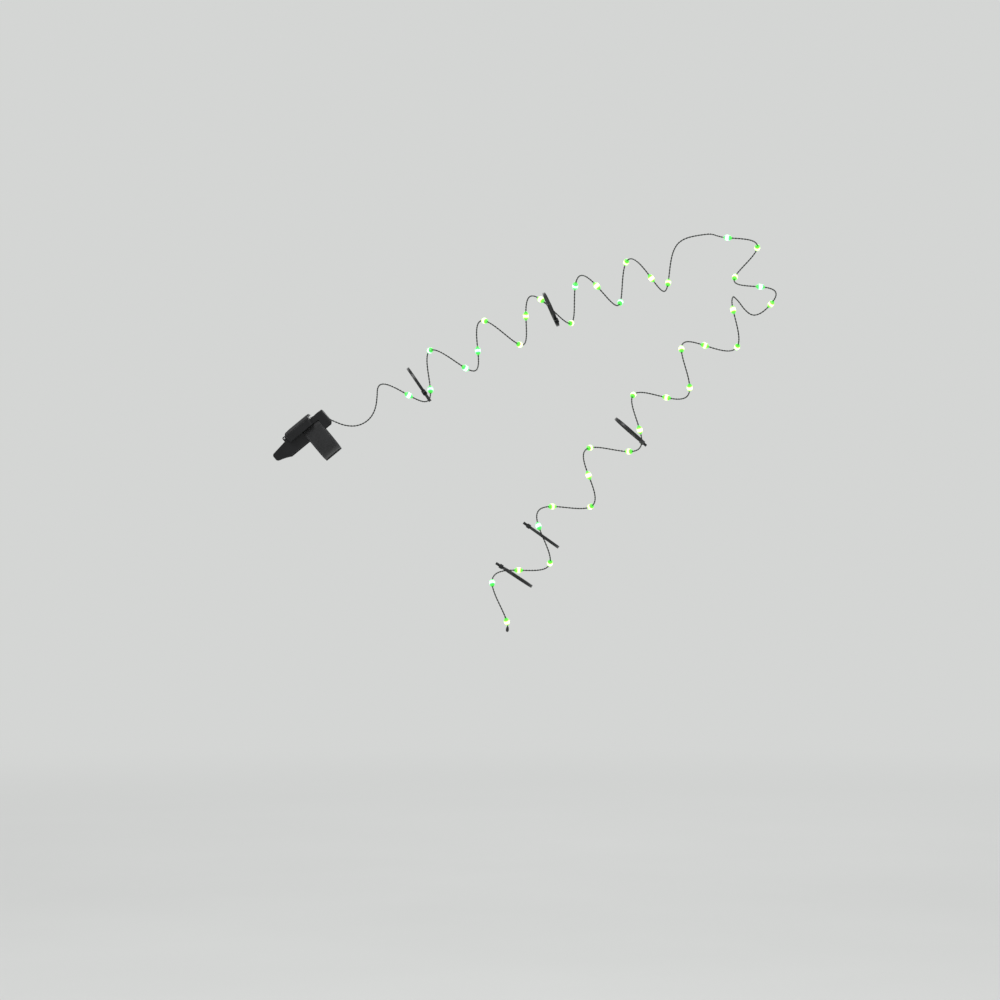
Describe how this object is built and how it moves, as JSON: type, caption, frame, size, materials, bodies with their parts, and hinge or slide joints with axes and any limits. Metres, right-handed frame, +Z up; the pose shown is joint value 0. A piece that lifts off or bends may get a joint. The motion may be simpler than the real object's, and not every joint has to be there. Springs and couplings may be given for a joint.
{
  "type": "bicycle string light",
  "caption": "Battery-powered string of green lamps wound along bicycle frame tubes and tied on, with a strapped-on battery pack that has a hinged door and a push button.",
  "frame": {"origin": "axis of the frame tube that carries the pack, halfway along the strap", "axes": "+Z up, +X towards the front of the bicycle frame, -Y towards the side that is looked at"},
  "size_m": [0.6085, 0.0708, 0.4833],
  "materials": {
    "case_plastic": "fine spark texture",
    "door_plastic": "satin",
    "cover_plastic": "satin",
    "pad_rubber": "matt",
    "seal_rubber": "matt",
    "grommet_rubber": "matt",
    "strap_webbing": "woven",
    "cell_wrap": "gloss film over steel",
    "contact_metal": "nickel plated",
    "lead_metal": "tinned",
    "board": "solder mask",
    "chip": "moulded",
    "resistor": "matt",
    "connector_plastic": "moulded",
    "switch_metal": "pressed",
    "plunger_plastic": "moulded",
    "button_rubber": "matt",
    "screw_steel": "zinc plated",
    "pin_steel": "ground",
    "wire_sheath": "dark sheath on each of two twisted cores",
    "end_cap_plastic": "moulded",
    "tie_nylon": "smooth nylon",
    "lamp_lens": "clear green lens, lit from inside"
  },
  "bodies": {
    "pack_and_string": {"battery_leads": "lead_metal", "cable_ties_down_tube": "tie_nylon", "cable_ties_top_tube": "tie_nylon", "case_base": "case_plastic", "cell_1": "cell_wrap", "cell_2": "cell_wrap", "cell_3": "cell_wrap", "circuit_board": "board", "contact_end_far": "contact_metal", "contact_end_near": "contact_metal", "contact_link_far": "contact_metal", "contact_link_near": "contact_metal", "cover_screws": "screw_steel", "driver_chip": "chip", "dropper_resistor": "resistor", "hinge_pin": "pin_steel", "lamps_turn_01": "lamp_lens", "lamps_turn_02": "lamp_lens", "lamps_turn_03": "lamp_lens", "lamps_turn_04": "lamp_lens", "lamps_turn_05": "lamp_lens", "lamps_turn_06": "lamp_lens", "lamps_turn_07": "lamp_lens", "lamps_turn_08": "lamp_lens", "lamps_turn_09": "lamp_lens", "lamps_turn_10": "lamp_lens", "lamps_turn_11": "lamp_lens", "lamps_turn_12": "lamp_lens", "lamps_turn_13": "lamp_lens", "lead_connector": "connector_plastic", "lead_grommet": "grommet_rubber", "saddle_pad": "pad_rubber", "strap": "strap_webbing", "string_end_cap": "end_cap_plastic", "string_wire": "wire_sheath", "switch_cover": "cover_plastic", "tact_switch": "switch_metal"},
    "door": {"battery_door": "door_plastic", "door_seal": "seal_rubber"},
    "button": {"push_button": "button_rubber", "switch_plunger": "plunger_plastic"}
  },
  "joints": [
    {"name": "door_hinge", "type": "hinge", "parent": "pack_and_string", "child": "door", "pos_m": [-0.04579, 0, 0.00288], "axis": [0, -1, 0], "range_deg": [0, 110]},
    {"name": "button_press", "type": "slide", "parent": "pack_and_string", "child": "button", "axis": [0.6361, 0, -0.7716], "range_m": [0, 0.0005], "stiffness_N_per_m": 2000, "springref_m": -0.0003}
  ]
}
